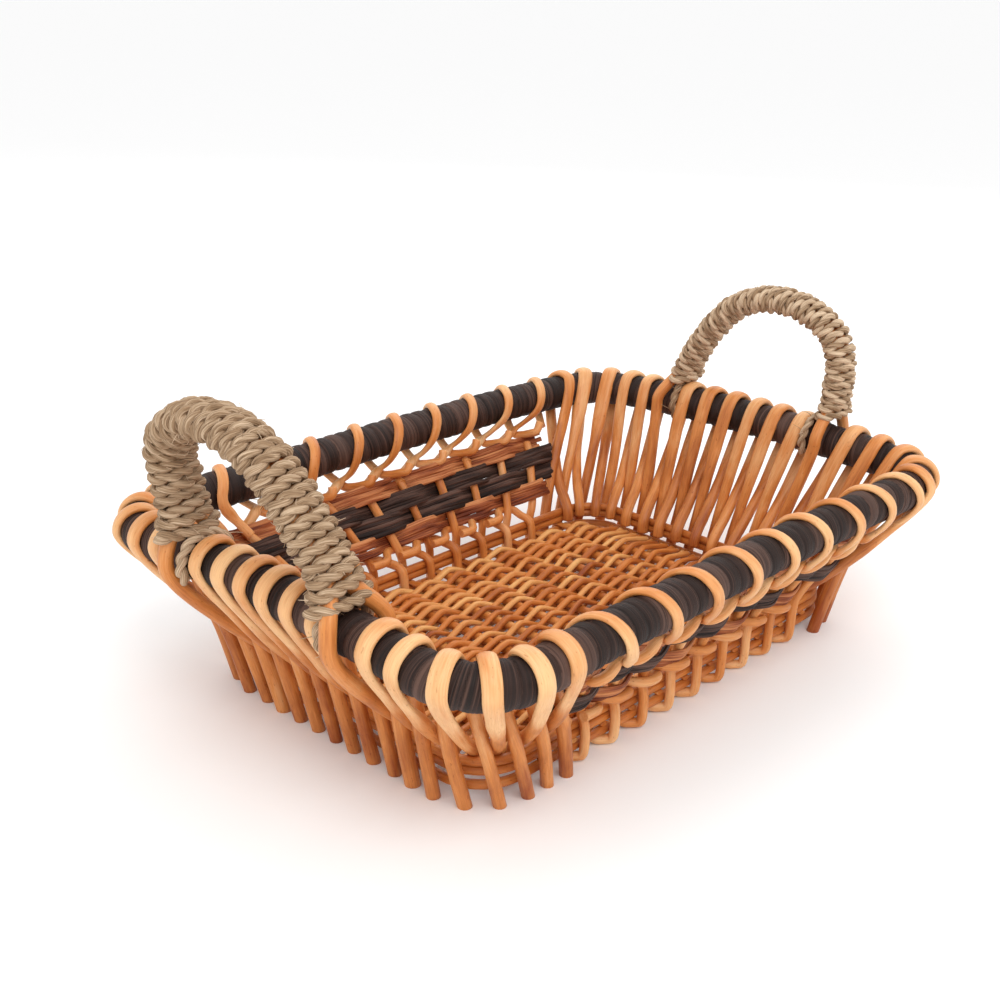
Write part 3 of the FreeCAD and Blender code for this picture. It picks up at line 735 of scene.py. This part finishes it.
def legPoints(end, run, pitch, side, lift=0.0):
    # a leg from its foot up to the crossing, outside the frame or inside it
    shape = hairpinShape
    word = "out" if side > 0 else "in"
    footShift, midShift = shape[word + "Foot"], shape[word + "Mid"]
    cornerRod = abs(run) > endRuns[-1] + 1.0
    basePitch = pitch * basket["cornerShare" if cornerRod else "endShare"]
    footOff = hoopRadius + basket["rodRadius"] + shape["footGap"]
    footRun = baseRun(run) + (footShift + rng.uniform(-0.04, 0.04)) * basePitch
    foot, out = baseAt(end, footRun, 0.0)
    top, topOut = rimAt(end, run + midShift * pitch)
    crossing = baseAt(end, baseRun(run) + midShift * basePitch, frameTop)[0]
    middle = blend(crossing, top, basket["midShare"]) + topOut * basket["midOut"]
    if side > 0:
        foot = foot + out * footOff
        below = shape["aimBelow"]
        deep = vec(foot[0], foot[1], -below) - out * shape["aimIn"]
        return [blend(deep, middle, below / (middle[2] + below)), middle]
    foot = foot - out * footOff
    low = vec(foot[0], foot[1], stickLevel + sticks["radius"] + shape["inRest"] + lift)
    return [low, vec(foot[0], foot[1], frameTop + shape["inTop"]), middle]


def overRail(centre, out, offset, firstDeg, lastDeg, corners):
    # corner points of a bend over the rim, which a rounded path then follows at the offset
    step = (lastDeg - firstDeg) / corners
    reach = offset / math.cos(math.radians(abs(step) / 2))
    points = []
    for i in range(corners):
        angle = math.radians(firstDeg + (i + 0.5) * step)
        points.append(centre + out * (reach * math.cos(angle)) + up * (reach * math.sin(angle)))
    return points


def tangentDeg(reach, out, offset, side):
    # where on the rail a straight leg meets it without a kink
    level = float(np.dot(reach, out))
    distance = math.hypot(level, reach[2])
    lean = math.degrees(math.atan2(level, reach[2]))
    swing = math.degrees(math.asin(offset / distance))
    return swing - lean if side > 0 else -(swing + lean)


def addHairpin(draft, end, run, pitch):
    shape = hairpinShape
    run = run + rng.uniform(-shape["slip"], shape["slip"])
    rise = legPoints(end, run, pitch, 1)
    fall = legPoints(end, run, pitch, -1, rng.uniform(0, shape["lift"]))
    top, out = rimAt(end, run)
    offset = rimRadius + shape["loopThick"] - shape["press"]
    firstDeg = 180 + tangentDeg(top - rise[-1], out, offset, 1)
    lastDeg = tangentDeg(top - fall[-1], out, offset, -1)
    bend = overRail(top, out, offset, firstDeg, lastDeg, 4)
    path = wander(roundPath(rise + bend + fall[::-1], 1.3), 0.3, 40)
    nearRim = np.linalg.norm(path - top, axis=1)
    flat = eased(np.clip((shape["flatReach"] - nearRim) / shape["flatEase"], 0, 1))
    size = basket["rodRadius"] * rng.uniform(0.94, 1.05)
    width = blend(size, shape["loopWidth"] * rng.uniform(0.9, 1.06), flat)
    thick = blend(size, shape["loopThick"], flat)
    share = np.linspace(0, 1, len(path))
    split = np.clip((share - shape["splitFrom"]) * shape["splitEase"], 0, 1)
    own = rng.uniform(-shape["toneSpread"], shape["toneSpread"])
    tone = shape["tone"] + shape["splitTone"] * flat * split + shape["loopTone"] * flat + own
    tone = tone - shape["footTone"] * np.clip(1 - path[:, 2] / shape["footHeight"], 0, 1)
    draft.addTube(path, width, thick, side=unit(np.cross(up, out)), tone=tone, around=14,
                  levelEnds=((0, 0.0),), lumps=0.05, roughness=0.02)


def makeEnds():
    for name, end in (("right", 1), ("left", -1)):
        draft = MeshDraft()
        for run in endRuns:
            if run not in handleRuns:
                addHairpin(draft, end, run, basket["rodPitch"])
        addPiece(draft, name + "_end_rods", rodWillow, "peeled_willow")
    corners = (("back_right", 1, 1, 3), ("front_right", 1, -1, 3),
               ("front_left", -1, 1, 4), ("back_left", -1, -1, 3))
    pitch = basket["cornerPitch"]
    for name, end, sign, count in corners:
        draft = MeshDraft()
        first = sign * (endRuns[-1] + pitch)
        for i in range(count):
            addHairpin(draft, end, first + sign * pitch * i, pitch)
        addPiece(draft, name + "_corner_rods", rodWillow, "peeled_willow")


makeEnds()
print("end walls and corners standing")

# side walls

stakeShape = {
    "gap": 0.3, "rest": 0.15, "ride": 0.2,  # to the frame's side, the floor and the frame's top
    "wall": ((0.635, 2.2), (0.56, 0.2), (0.12, 0.5)),  # share of the wall's height, out of its line
    "lean": 0.13,  # of the next stake, where the tail passes it
}


def sidePoint(side, xRim, xBase, share, out):
    # a point of a side wall, on the line between a place on the rim and one on the base
    rim = vec(xRim, side * rimRing[1])
    rim[2] = rimHeight(rim)
    base = vec(xBase, side * baseRing[1], frameTop)
    runY = rimRing[1] - baseRing[1]
    runZ = rim[2] - frameTop
    slant = math.hypot(runY, runZ)
    return blend(base, rim, share) + vec(0, side * runZ / slant, -runY / slant) * out


def stakePlace(side, index):
    # a stake's places along the rim and along the base
    xRim = basket["stakeShift"][side] + basket["stakePitch"] * (index - (basket["stakeCount"] - 1) / 2)
    return xRim, basket["firstStake"][side] + basket["stakeFootPitch"] * index


def besideFrame(side, x, out, z):
    # a point beside the base frame, which turns in at its corners
    halfX, halfY, radius = baseRing
    past = max(abs(x) - (halfX - radius), 0.0)
    y = halfY - radius + math.sqrt(max(radius ** 2 - past ** 2, 0.0))
    return vec(x, side * (y + out), z)


def addStake(draft, side, index):
    # down the wall, under the frame, back over it, and on past the next two stakes
    xRim, xBase = stakePlace(side, index)
    radius = basket["stakeRadius"]
    off = hoopRadius + radius + stakeShape["gap"]
    under = radius + stakeShape["rest"]
    over = frameTop + radius + stakeShape["ride"]
    nextRim, nextBase = stakePlace(side, index - 1)
    passing = nextBase + stakeShape["lean"] * (nextRim - nextBase)
    after = passing - basket["stakeFootPitch"]
    points = [sidePoint(side, xRim, xBase, share, out) for share, out in stakeShape["wall"]]
    roundFrame = [(0, off, frameTop - 1.5), (0, off, under + 1.2), (-1, off - 3.2, under),
                  (-6, 3.2 - off, under), (-8, -off, under + 3), (-9, -off, over - 3),
                  (-9.5, 3.2 - off, over), (-10.5, off - 2, over + 0.6)]
    points += [besideFrame(side, xBase + along, out, z) for along, out, z in roundFrame]
    if index > 0:
        points += [besideFrame(side, passing + 8, off + 4.4, over + 3.9)]
        points += [besideFrame(side, passing - 3, off + 5.6, over + 5.4)]
    if index > 1:
        lift = rng.uniform(-0.8, 0.8)
        points += [besideFrame(side, passing - 11, off - 0.6, over + 7.4)]
        points += [besideFrame(side, after + 4, -5.2, over + 7.8 + lift)]
        points += [besideFrame(side, after - 6 - rng.uniform(0, 3), -4.6, over + 8 + lift)]
    path = wander(roundPath(points, 1.2), 0.25, 40)
    tone = 0.50 + rng.uniform(-0.12, 0.14) + 0.12 * np.clip((24 - path[:, 2]) / 20, 0, 1)
    draft.addTube(path, radius * rng.uniform(0.95, 1.05), tone=tone, around=12, lumps=0.05)


# each point of a strand is how far along, the share of the wall's height, and how far out of its line
borderShape = {
    "cup": ((0, 0.62, 0.8), (0.5, 0.655, 3.8), (2, 0.675, 6.6), (8, 0.69, 7.8), (14, 0.72, 7.4),
            (22, 0.785, 4.6), (27, 0.81, -1.5)),
    "plainStart": ((-3, 0.62, -4.8), (-2, 0.76, -4.8)),  # the first strand has no cup
    "fall": (24.5, 0.738, 8.4),
    "tail": ((28, 0.712, 3.6), (30.8, 0.70, -2.6), (33.5, 0.69, -6.4)),
    "tailEnd": (36.5, 0.73, -7), "tailSpread": 0.045,
    "topShift": 11,  # a loop leans, so its top is this far along from its stake
    "loopDeg": (222, -60), "loopCorners": 5, "loopStep": 5.0, "slip": 0.8,
    "press": 0.9,  # how far a loop is drawn into the winding
    "halfWidth": 3.2, "halfThick": 1.7,
    "flatReach": 21, "flatEase": 5,
    "cupRadius": 2.9, "cupMiddle": 0.16,  # share of the strand's length
    "tone": 0.54, "splitTone": 0.26, "cupTone": 0.24,
    "splitFrom": 0.42, "splitEase": 6,
}


def addBorderStrand(draft, side, index):
    # a cup under one loop, then the next loop over the rim
    shape = borderShape
    xOwn, xFoot = stakePlace(side, index)
    pitch = basket["stakePitch"]
    spread = basket["stakeFootPitch"] / pitch

    def place(start, along, share, out):
        x = start + along
        return sidePoint(side, x, xFoot + (x - xOwn) * spread, share, out)

    if index > 0:
        points = [place(xOwn - pitch, *spot) for spot in shape["cup"]]
    else:
        points = [place(xOwn, *spot) for spot in shape["plainStart"]]
    top = vec(xOwn + shape["topShift"], side * rimRing[1])
    top[2] = rimHeight(top)
    thick = shape["halfThick"]
    corners = shape["loopCorners"]
    bend = overRail(top, vec(0, side), rimRadius + thick - shape["press"], *shape["loopDeg"], corners)
    slip = rng.uniform(-shape["slip"], shape["slip"])
    points += [point + vec(shape["loopStep"] * (i - corners // 2) + slip, 0) for i, point in enumerate(bend)]
    points.append(place(xOwn, *shape["fall"]))
    if index < basket["stakeCount"] - 1:
        along, share, out = shape["tailEnd"]
        reach = rng.uniform(0, shape["tailSpread"])
        points += [place(xOwn, *spot) for spot in shape["tail"]]
        points.append(place(xOwn, along, share + reach, out))
    path = wander(roundPath(points, 1.0, rounds=2), 0.3, 24)
    nearRim = np.linalg.norm((path - top)[:, 1:], axis=1)
    flat = eased(np.clip((shape["flatReach"] - nearRim) / shape["flatEase"], 0, 1))
    share = np.linspace(0, 1, len(path))
    split = np.clip((share - shape["splitFrom"]) * shape["splitEase"], 0, 1)
    cup = np.clip(1 - np.abs(share - shape["cupMiddle"]) / shape["cupMiddle"], 0, 1) * (index > 0)
    tone = shape["tone"] + rng.uniform(-0.1, 0.1) + shape["splitTone"] * flat * split + shape["cupTone"] * cup
    radius = blend(basket["stakeRadius"], shape["cupRadius"], cup)
    draft.addTube(path, blend(radius, shape["halfWidth"], flat), blend(radius, thick, flat),
                  side=strandSide(path, top, side, flat), tone=tone, around=12, lumps=0.07, roughness=0.03)


def strandSide(path, top, side, flat):
    # the strand lies flat on the wall below and flat round the rim above
    tangent = np.gradient(path, axis=0)
    wallOut = sidePoint(side, 0, 0, 0.5, 1) - sidePoint(side, 0, 0, 0.5, 0)
    radial = unitRows((path - top) * vec(0, 1, 1))
    facing = wallOut * np.where(radial @ wallOut < 0, -1, 1)[:, None] * (1 - flat)[:, None]
    turned = unitRows(np.cross(tangent, facing + radial * flat[:, None]) + vec(0.01, 0))
    for i in range(1, len(turned)):
        if turned[i] @ turned[i - 1] < 0:
            turned[i] *= -1
    return softened(turned)


bands = {
    "width": 5.3, "thick": 0.9, "strands": 5,
    "pitch": 10.1, "drop": 28.4,  # down the wall from the rim
    "swing": 4.0, "overStake": 3.6,
    "strandPitch": 0.4,  # of the band's width, so that the strands overlap a little
    "looseEnd": {"red": 13, "dark": 22},  # past the last stake
}


def addBand(draft, side, level, loose):
    # strands side by side, outside one stake and inside the next
    places = [stakePlace(side, i) for i in range(basket["stakeCount"])]
    middle = places[len(places) // 2]
    rise = rimLow + basket["sideRise"] - frameTop
    slant = math.hypot(rimRing[1] - baseRing[1], rise)
    share = 1 - (bands["drop"] + level * bands["pitch"]) / slant
    spots = [sidePoint(side, *place, share, 0) for place in places]
    upWall = unit(sidePoint(side, *middle, share + 0.1, 0) - sidePoint(side, *middle, share, 0))
    upWall[0] = 0
    normal = sidePoint(side, *places[0], share, 1.0) - spots[0]
    swing = -bands["swing"] if level % 2 else bands["swing"]
    points = [spots[0] - vec(loose, 0)]
    for spot in spots:
        for aside in (-bands["overStake"], bands["overStake"]):
            points.append(spot + vec(aside, 0) + normal * swing + upWall * rng.uniform(-0.5, 0.5))
        swing = -swing
    points.append(spots[-1] + vec(loose, 0))
    path = roundPath(points, 1.1, rounds=3)
    for strand in range(bands["strands"]):
        offset = (strand - bands["strands"] // 2) * bands["width"] * bands["strandPitch"]
        own = wander(path, 0.55, 20) + upWall * offset + normal * rng.uniform(-0.25, 0.25)
        keepFirst = int(rng.uniform(0, 5))  # the ends aren't cut in one line
        keepLast = len(own) - int(rng.uniform(0, 5))
        own = own[keepFirst:keepLast]
        width = bands["width"] * rng.uniform(0.24, 0.31)
        tone = rng.uniform(0.36, 0.70) + 0.06 * np.sin(np.arange(len(own)) * 0.2 + strand)
        draft.addTube(own, width, bands["thick"] * rng.uniform(0.8, 1.2), side=upWall, tone=tone,
                      around=10, lumps=0.16, roughness=0.1)


def makeSides():
    finishes = {"red": (redBark, "red_bark"), "dark": (darkPalm, "dark_palm")}
    rows = (("upper", "red"), ("upper", "dark"), ("lower", "dark"), ("lower", "red"))
    for prefix, side in (("front", -1), ("back", 1)):
        stakes, strands = MeshDraft(), MeshDraft()
        for i in range(basket["stakeCount"]):
            addStake(stakes, side, i)
            addBorderStrand(strands, side, i)
        addPiece(stakes, prefix + "_stakes", rodWillow, "peeled_willow")
        addPiece(strands, prefix + "_border_strands", rodWillow, "peeled_willow")
        for level, (place, color) in enumerate(rows):
            draft = MeshDraft()
            addBand(draft, side, level, bands["looseEnd"][color])
            addPiece(draft, "%s_%s_%s_band" % (prefix, place, color), *finishes[color])


makeSides()
print("side walls woven")

# handles

handles = {
    "right_handle": {"end": 1, "rod": 3.5, "rope": 2.55, "lean": 2.0, "shift": 0.0, "pitch": 4.6,
                     "fray": 160},
    "left_handle": {"end": -1, "rod": 3.8, "rope": 3.15, "lean": 7.0, "shift": 7.0, "pitch": 5.7,
                    "fray": 420},
}
archShape = {
    "width": 116.0, "height": 54.0, "start": 21.0, "out": 3.5,
    "across": (-0.50, -0.512, -0.475, -0.31, -0.09, 0.13, 0.27, 0.37, 0.435),
    "rise": (0.0, 0.36, 0.72, 0.96, 1.03, 0.90, 0.60, 0.27, 0.0),
    "coreGap": 0.1,  # half the gap between the two core rods
    "rimGap": 1.9,  # between a core rod and the winding it passes
    "past": {1: 8, -1: 2}, "above": 7,  # an outer and an inner rod part from below the rim's middle
}
rope = {
    "plies": 2, "twist": 14.0,
    "plyRadius": 0.62, "lay": 0.44,  # over the rope's own radius
    "turnPoints": 40,
    "squeeze": 0.92, "fullness": 0.98,
    "footReach": 10.0, "footFlare": 6.0,  # the last turns go down over the parting rods
    "footStart": 0.8,
}
fray = {
    "thick": (0.26, 0.1),
    "shortest": 0.35,  # over the longest
    "handle": (5.5, 0.2),  # longest, and how much it points up
    "lashing": (8.0, -0.2), "lashingCount": 24,
}
lashing = {
    "rope": 0.9,  # over the handle's rope
    "aside": 9.6,  # from the handle's foot, along the rim
    "degrees": (205, -25), "corners": 4, "gap": 0.2,
    "drop": 9.0, "spread": 4.5,
    "step": 0.5, "first": -1.2,
}


def archPoints(handle):
    end = handle["end"]
    startX = rimRing[0] + archShape["out"]
    startZ = rimLow + basket["endRise"] + archShape["start"]
    points = []
    for across, rise in zip(archShape["across"], archShape["rise"]):
        x = startX + handle["lean"] * rise
        y = archShape["width"] * across - handle["shift"] * rise
        points.append(vec(end * x, end * y, startZ + archShape["height"] * rise))
    return points


def addHandleRod(draft, handle, layer):
    # layer 1 is the outer rod of the two, and -1 the inner one
    end, radius = handle["end"], handle["rod"]
    feet = []
    for run in handleRuns:
        legs = legPoints(end, run, basket["rodPitch"], -layer)
        top, out = rimAt(end, run)
        aside = out * (layer * (rimRadius + radius + archShape["rimGap"]))
        low, high = archShape["past"][layer], archShape["above"]
        feet.append(legs + [top + aside - up * low, top + aside + up * high])
    apart = vec(end * layer * (radius + archShape["coreGap"]), 0)
    arch = [point + apart for point in archPoints(handle)]
    path = roundPath(feet[0] + arch + feet[1][::-1], 1.3)
    ends = ((0, 0.0), (-1, 0.0)) if layer < 0 else ()
    tone = 0.42 + 0.1 * np.clip((path[:, 2] - 60) / 40, 0, 1)
    draft.addTube(path, radius, tone=tone, around=14, levelEnds=ends, lumps=0.04)


def addRope(draft, path, radius):
    # plies laid round each other along a path
    wide, deep = pathFrames(path)[1:]
    run = runAlong(path)
    lay = radius * rope["lay"]
    for ply in range(rope["plies"]):
        turn = run / rope["twist"] * 2 * math.pi + ply * 2 * math.pi / rope["plies"]
        own = path + wide * (lay * np.cos(turn))[:, None] + deep * (lay * np.sin(turn))[:, None]
        draft.addTube(own, radius * rope["plyRadius"] * rng.uniform(0.94, 1.06),
                      tone=rng.uniform(0.52, 0.68), around=10, lumps=0.16, roughness=0.14)


def turnsRound(path, handle):
    # an oval helix round a handle's arch
    halfWide = handle["rod"] + handle["rope"] * rope["squeeze"]
    halfDeep = handle["rod"] + halfWide
    outward = vec(handle["end"], 0)
    run = runAlong(path)
    turns = int(run[-1] / handle["pitch"])
    spots = np.linspace(0, run[-1], turns * rope["turnPoints"])
    at = readOff(spots, run, path)
    ahead = unitRows(readOff(spots, run, unitRows(np.gradient(path, axis=0))))
    deep = unitRows(outward - ahead * (ahead @ outward)[:, None])
    wide = np.cross(ahead, deep)
    angle = spots / run[-1] * turns * 2 * math.pi
    toEnd = np.minimum(spots, run[-1] - spots)
    flare = rope["footFlare"] * np.clip(1 - toEnd / rope["footReach"], 0, 1)
    through = (halfDeep + flare) * np.cos(angle)
    helix = at + deep * through[:, None] + wide * (halfWide * np.sin(angle))[:, None]
    return wander(helix, 0.45, 14)


def randomWay(lift=0.0):
    return unit(vec(rng.gauss(0, 1), rng.gauss(0, 1), rng.gauss(0, 1) + lift))


def addFray(draft, path, count, longest, lift):
    # loose fibres that stand off the rope
    for _ in range(count):
        start = path[rng.randrange(2, len(path) - 2)]
        direction = randomWay(lift)
        curl = randomWay()
        reach = rng.uniform(fray["shortest"], 1.0) * longest
        shares = ((0.0, 0.0), (0.45, 0.0), (0.8, 0.3), (1.0, 0.65))
        points = [start + direction * reach * ahead + curl * reach * aside for ahead, aside in shares]
        hair = roundPath(points, 1.2, rounds=2)
        draft.addTube(hair, np.linspace(*fray["thick"], len(hair)), around=4, tone=rng.uniform(0.5, 0.85))


def makeHandles():
    for name, handle in handles.items():
        for layer, word in ((1, "outer"), (-1, "inner")):
            draft = MeshDraft()
            addHandleRod(draft, handle, layer)
            addPiece(draft, "%s_%s_rod" % (name, word), rodWillow, "peeled_willow")
        draft = MeshDraft()
        points = archPoints(handle)
        below = up * rope["footReach"] * rope["footStart"]
        arch = roundPath([points[0] - below] + points + [points[-1] - below], 1.0)
        helix = turnsRound(arch, handle)
        addRope(draft, helix, handle["rope"] * rope["fullness"])
        addFray(draft, helix, handle["fray"], *fray["handle"])
        addPiece(draft, name + "_rope", seagrass, "seagrass_rope")


def makeLashings():
    spots = (("right_front", "right_handle", handleRuns[0]), ("right_back", "right_handle", handleRuns[1]),
             ("left_back", "left_handle", handleRuns[0]), ("left_front", "left_handle", handleRuns[1]))
    for name, handleName, run in spots:
        handle = handles[handleName]
        end = handle["end"]
        side = 1 if run > 0 else -1
        radius = handle["rope"] * lashing["rope"]
        top, out = rimAt(end, run - side * lashing["aside"])
        offset = rimRadius + radius + lashing["gap"]
        bend = overRail(top, out, offset, *lashing["degrees"], lashing["corners"])
        drop, spread = up * lashing["drop"], out * lashing["spread"]
        points = [bend[0] - drop + spread] + bend + [bend[-1] - drop - spread]
        along = vec(0, end * side)
        points = [point + along * (lashing["step"] * i + lashing["first"]) for i, point in enumerate(points)]
        path = roundPath(points, 1.0)
        draft = MeshDraft()
        addRope(draft, path, radius)
        addFray(draft, path, fray["lashingCount"], *fray["lashing"])
        addPiece(draft, name + "_lashing", seagrass, "seagrass_rope")


makeHandles()
makeLashings()
print("handles wound")

# floor and light

studio = {
    "floor": (0.96, 0.96, 0.96), "floorRoughness": 0.9,
    "world": 1.0,
    "reach": 30.0,
    "aim": (0.0, 0.0, 0.08),
    "keyPower": 9.0, "keyPlace": (-0.5, -0.9, 1.3), "keySize": 0.9,
    "fillPower": 5.0, "fillPlace": (1.0, 0.6, 1.0), "fillSize": 1.2,
}


def makeFloor():
    sheet = NodeSheet("floorPaper")
    sheet.shader.inputs["Base Color"].default_value = (*studio["floor"], 1.0)
    sheet.shader.inputs["Roughness"].default_value = studio["floorRoughness"]
    mesh = bpy.data.meshes.new("floor")
    reach = studio["reach"]
    corners = [(-reach, -reach, 0), (reach, -reach, 0), (reach, reach, 0), (-reach, reach, 0)]
    mesh.from_pydata(corners, [], [(0, 1, 2, 3)])
    mesh.materials.append(sheet.material)
    floor = bpy.data.objects.new("floor", mesh)
    bpy.context.scene.collection.objects.link(floor)


def makeLight(word):
    name = word + "Light"
    data = bpy.data.lights.new(name, "AREA")
    data.energy = studio[word + "Power"]
    data.size = studio[word + "Size"]
    lamp = bpy.data.objects.new(name, data)
    lamp.location = studio[word + "Place"]
    aim = Vector(studio["aim"]) - Vector(studio[word + "Place"])
    lamp.rotation_euler = aim.to_track_quat("-Z", "Y").to_euler()
    bpy.context.scene.collection.objects.link(lamp)


def makeStudio():
    makeFloor()
    makeLight("key")
    makeLight("fill")
    world = bpy.data.worlds.new("studioWorld")
    world.use_nodes = True
    background = world.node_tree.nodes["Background"]
    background.inputs["Color"].default_value = (*white, 1.0)
    background.inputs["Strength"].default_value = studio["world"]
    bpy.context.scene.world = world
    bpy.context.scene.view_settings.view_transform = "Standard"


makeStudio()
print("studio lit")
